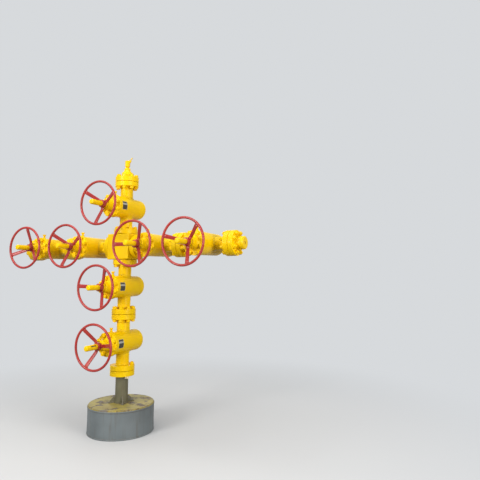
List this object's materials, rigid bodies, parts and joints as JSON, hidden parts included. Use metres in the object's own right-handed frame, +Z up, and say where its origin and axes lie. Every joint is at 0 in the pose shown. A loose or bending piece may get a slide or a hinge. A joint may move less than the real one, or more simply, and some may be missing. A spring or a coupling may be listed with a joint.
{
  "type": "oil wellhead valve stack",
  "caption": "Vertical stack of flanged gate valves with handwheels, a studded cross with valved wings, threaded outlets and a needle valve on top, standing on a drum pedestal",
  "frame": {"origin": "centre of the drum's underside, on the floor", "axes": "+Z up along the vertical run, +X towards the right wing's outlet, stems and handwheels towards -Y"},
  "size_m": [3.08, 0.9614, 3.1056],
  "materials": {
    "yellow_enamel": "glossy yellow enamel over cast and forged steel",
    "red_enamel": "red enamel over steel bar",
    "pipe_paint": "dull grey-olive paint over pipe",
    "drum_paint": "worn grey-blue paint over sheet steel",
    "plate_paint": "worn yellow paint over steel plate"
  },
  "bodies": {
    "tree": {"drum": "drum_paint", "drum_plate": "plate_paint", "stand_pipe": "pipe_paint", "pipe_gussets": "pipe_paint", "bottom_flange": "yellow_enamel", "cross_block": "yellow_enamel", "tree_cap": "yellow_enamel", "needle_valve_body": "yellow_enamel", "left_outlet_flange": "yellow_enamel", "right_outlet_flange": "yellow_enamel", "lower_master_body": "yellow_enamel", "lower_master_bonnet": "yellow_enamel", "lower_master_bearing_cap": "yellow_enamel", "upper_master_body": "yellow_enamel", "upper_master_bonnet": "yellow_enamel", "upper_master_bearing_cap": "yellow_enamel", "swab_body": "yellow_enamel", "swab_bonnet": "yellow_enamel", "swab_bearing_cap": "yellow_enamel", "left_inner_body": "yellow_enamel", "left_inner_bonnet": "yellow_enamel", "left_inner_bearing_cap": "yellow_enamel", "left_outer_body": "yellow_enamel", "left_outer_bonnet": "yellow_enamel", "left_outer_bearing_cap": "yellow_enamel", "right_inner_body": "yellow_enamel", "right_inner_bonnet": "yellow_enamel", "right_inner_bearing_cap": "yellow_enamel", "right_outer_body": "yellow_enamel", "right_outer_bonnet": "yellow_enamel", "right_outer_bearing_cap": "yellow_enamel"},
    "lower_master_wheel": {"lower_master_handwheel": "red_enamel", "lower_master_stem_guard": "yellow_enamel"},
    "upper_master_wheel": {"upper_master_handwheel": "red_enamel", "upper_master_stem_guard": "yellow_enamel"},
    "swab_wheel": {"swab_handwheel": "red_enamel", "swab_stem_guard": "yellow_enamel"},
    "left_inner_wheel": {"left_inner_handwheel": "red_enamel", "left_inner_stem_guard": "yellow_enamel"},
    "left_outer_wheel": {"left_outer_handwheel": "red_enamel", "left_outer_stem_guard": "yellow_enamel"},
    "right_inner_wheel": {"right_inner_handwheel": "red_enamel", "right_inner_stem_guard": "yellow_enamel"},
    "right_outer_wheel": {"right_outer_handwheel": "red_enamel", "right_outer_stem_guard": "yellow_enamel"},
    "needle_handle": {"needle_valve_handle": "yellow_enamel"}
  },
  "joints": [
    {"name": "lower_master_turn", "type": "hinge", "parent": "tree", "child": "lower_master_wheel", "pos_m": [0, -0.4175, 0.9605], "axis": [0, -1, 0], "range_deg": [0, 4860]},
    {"name": "upper_master_turn", "type": "hinge", "parent": "tree", "child": "upper_master_wheel", "pos_m": [0, -0.4175, 1.5795], "axis": [0, -1, 0], "range_deg": [0, 4860]},
    {"name": "swab_turn", "type": "hinge", "parent": "tree", "child": "swab_wheel", "pos_m": [0, -0.4175, 2.4945], "axis": [0, -1, 0], "range_deg": [0, 4860]},
    {"name": "left_inner_turn", "type": "hinge", "parent": "tree", "child": "left_inner_wheel", "pos_m": [-0.4615, -0.4175, 2.037], "axis": [0, -1, 0], "range_deg": [0, 4860]},
    {"name": "left_outer_turn", "type": "hinge", "parent": "tree", "child": "left_outer_wheel", "pos_m": [-1.0805, -0.4175, 2.037], "axis": [0, -1, 0], "range_deg": [0, 4860]},
    {"name": "right_inner_turn", "type": "hinge", "parent": "tree", "child": "right_inner_wheel", "pos_m": [0.4615, -0.4175, 2.037], "axis": [0, -1, 0], "range_deg": [0, 4860]},
    {"name": "right_outer_turn", "type": "hinge", "parent": "tree", "child": "right_outer_wheel", "pos_m": [1.0805, -0.4175, 2.037], "axis": [0, -1, 0], "range_deg": [0, 4860]},
    {"name": "needle_valve_turn", "type": "hinge", "parent": "tree", "child": "needle_handle", "pos_m": [0.04371, 0, 3.06789], "axis": [0.6428, 0, 0.766], "range_deg": [0, 1890]}
  ]
}
